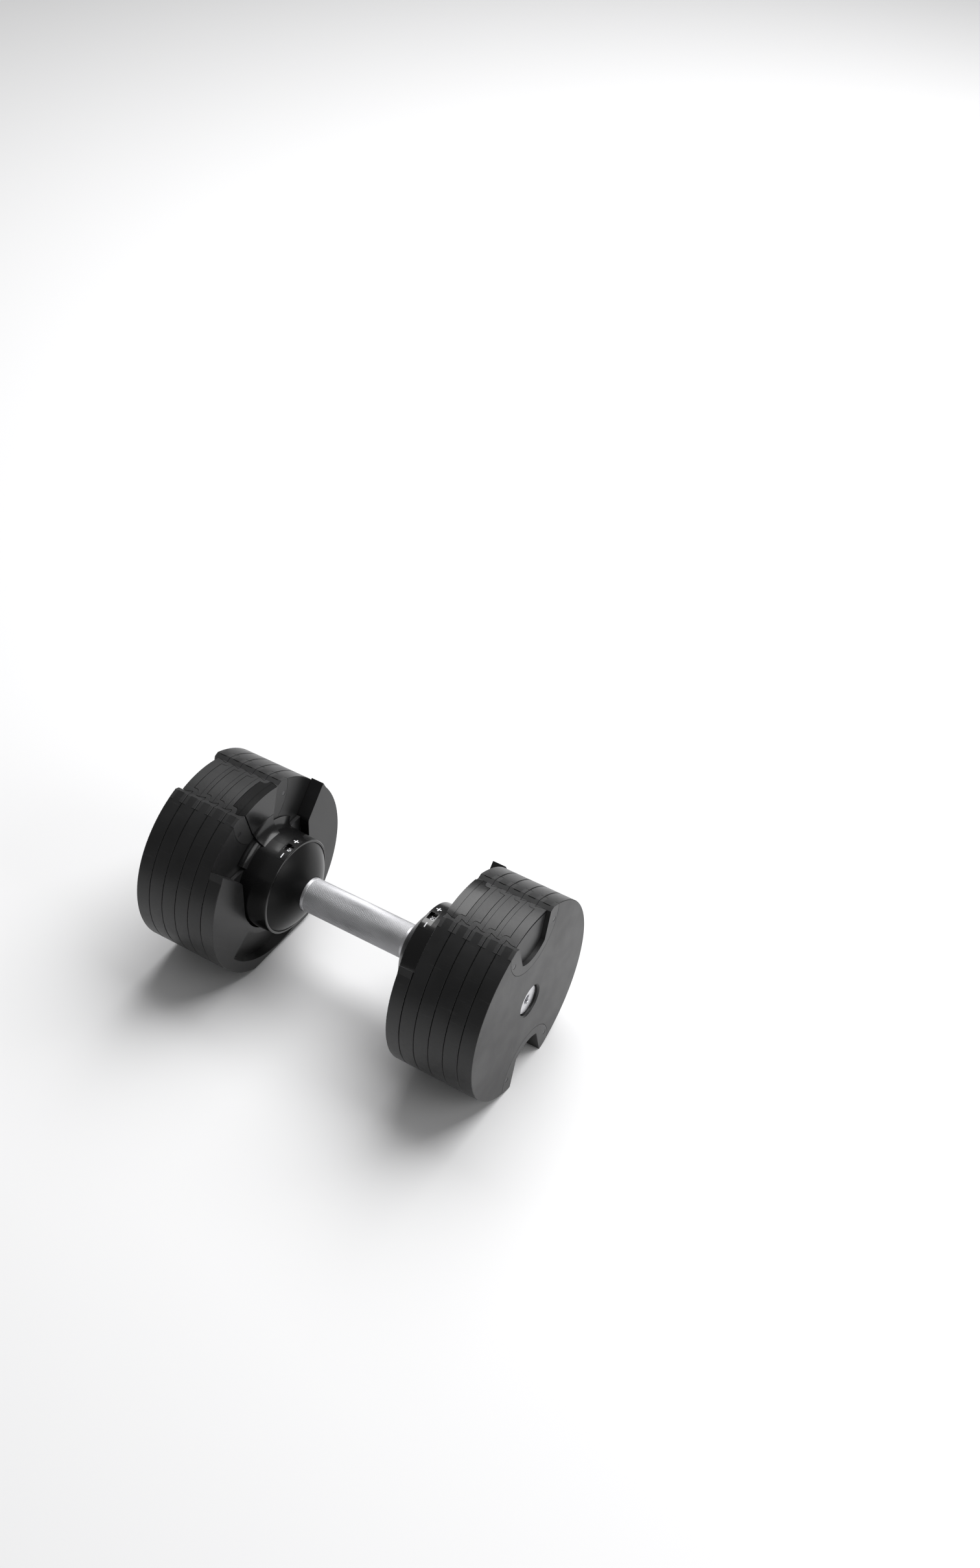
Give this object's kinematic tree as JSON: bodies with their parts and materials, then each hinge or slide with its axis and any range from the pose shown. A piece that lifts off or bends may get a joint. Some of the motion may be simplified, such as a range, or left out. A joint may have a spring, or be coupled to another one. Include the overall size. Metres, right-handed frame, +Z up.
{
  "type": "adjustable dumbbell",
  "caption": "Adjustable dumbbell: turning the knurled grip slides two rods that pick up hooked-together round weight plates at both ends.",
  "frame": {"origin": "on the floor, under the middle of the grip", "axes": "+X along the grip towards the right-hand plates, +Z up, +Y to the back"},
  "size_m": [0.346, 0.1856, 0.1778],
  "materials": {
    "plate_satin": "fine satin black powder coat",
    "insert_nylon": "black moulded nylon with a faint grain",
    "collar_gloss": "glossy black moulding",
    "cap_gloss": "glossy black moulding",
    "bezel_gloss": "glossy black trim",
    "flange_satin": "satin black coat",
    "bush_bronze": "plain turned bronze",
    "guide_nylon": "natural nylon",
    "rod_steel": "ground steel",
    "rod_cap_steel": "turned satin steel",
    "dial_black": "matt black with white numbers",
    "lock_steel": "stamped steel",
    "spring_steel": "spring steel",
    "rivet_steel": "blackened steel",
    "grip_steel": "fine diamond knurl, satin steel"
  },
  "bodies": {
    "frame": {"right_housing": "collar_gloss", "right_dial_bezel": "bezel_gloss", "right_collar_cap": "cap_gloss", "right_flange": "flange_satin", "right_bearing_bush": "bush_bronze", "right_rod_guide": "guide_nylon", "right_lock_spring": "spring_steel", "right_weight_plate_1": "plate_satin", "right_top_insert_1": "insert_nylon", "right_bottom_insert_1": "insert_nylon", "right_weight_plate_2": "plate_satin", "right_top_insert_2": "insert_nylon", "right_bottom_insert_2": "insert_nylon", "right_weight_plate_3": "plate_satin", "right_top_insert_3": "insert_nylon", "right_bottom_insert_3": "insert_nylon", "right_weight_plate_4": "plate_satin", "right_top_insert_4": "insert_nylon", "right_bottom_insert_4": "insert_nylon", "right_weight_plate_5": "plate_satin", "right_top_insert_5": "insert_nylon", "right_bottom_insert_5": "insert_nylon", "left_housing": "collar_gloss", "left_dial_bezel": "bezel_gloss", "left_collar_cap": "cap_gloss", "left_flange": "flange_satin", "left_bearing_bush": "bush_bronze", "left_rod_guide": "guide_nylon", "left_lock_spring": "spring_steel", "left_weight_plate_1": "plate_satin", "left_top_insert_1": "insert_nylon", "left_bottom_insert_1": "insert_nylon", "left_weight_plate_2": "plate_satin", "left_top_insert_2": "insert_nylon", "left_bottom_insert_2": "insert_nylon", "left_weight_plate_3": "plate_satin", "left_top_insert_3": "insert_nylon", "left_bottom_insert_3": "insert_nylon", "left_weight_plate_4": "plate_satin", "left_top_insert_4": "insert_nylon", "left_bottom_insert_4": "insert_nylon", "left_weight_plate_5": "plate_satin", "left_top_insert_5": "insert_nylon", "left_bottom_insert_5": "insert_nylon", "insert_rivets": "rivet_steel", "flange_screws": "rivet_steel", "click_springs": "spring_steel"},
    "grip": {"grip_sleeve": "grip_steel", "drive_screw": "rod_steel", "retaining_rings": "spring_steel", "right_dial_ring": "dial_black", "right_lock_ring": "lock_steel", "left_dial_ring": "dial_black", "left_lock_ring": "lock_steel"},
    "right_selector": {"right_selector_rod": "rod_steel", "right_rod_end_cap": "rod_cap_steel"},
    "right_lock": {"right_lock_slide": "lock_steel"},
    "left_selector": {"left_selector_rod": "rod_steel", "left_rod_end_cap": "rod_cap_steel"},
    "left_lock": {"left_lock_slide": "lock_steel"}
  },
  "joints": [
    {"name": "grip_turn", "type": "hinge", "parent": "frame", "child": "grip", "pos_m": [0, 0, 0.0882], "axis": [1, 0, 0], "range_deg": [0, 288]},
    {"name": "right_rod_slide", "type": "slide", "parent": "frame", "child": "right_selector", "axis": [-1, 0, 0], "range_m": [0, 0.068]},
    {"name": "right_lock_press", "type": "slide", "parent": "frame", "child": "right_lock", "axis": [0, 0, 1], "range_m": [0, 0.004], "stiffness_N_per_m": 400, "springref_m": -0.005, "deforming": ["right_lock_spring"]},
    {"name": "left_rod_slide", "type": "slide", "parent": "frame", "child": "left_selector", "axis": [1, 0, 0], "range_m": [0, 0.068]},
    {"name": "left_lock_press", "type": "slide", "parent": "frame", "child": "left_lock", "axis": [0, 0, 1], "range_m": [0, 0.004], "stiffness_N_per_m": 400, "springref_m": -0.005, "deforming": ["left_lock_spring"]}
  ],
  "couplings": [
    {"joint": "right_rod_slide", "follows": "grip_turn", "m_per_rad": 0.013528},
    {"joint": "left_rod_slide", "follows": "grip_turn", "m_per_rad": 0.013528}
  ]
}
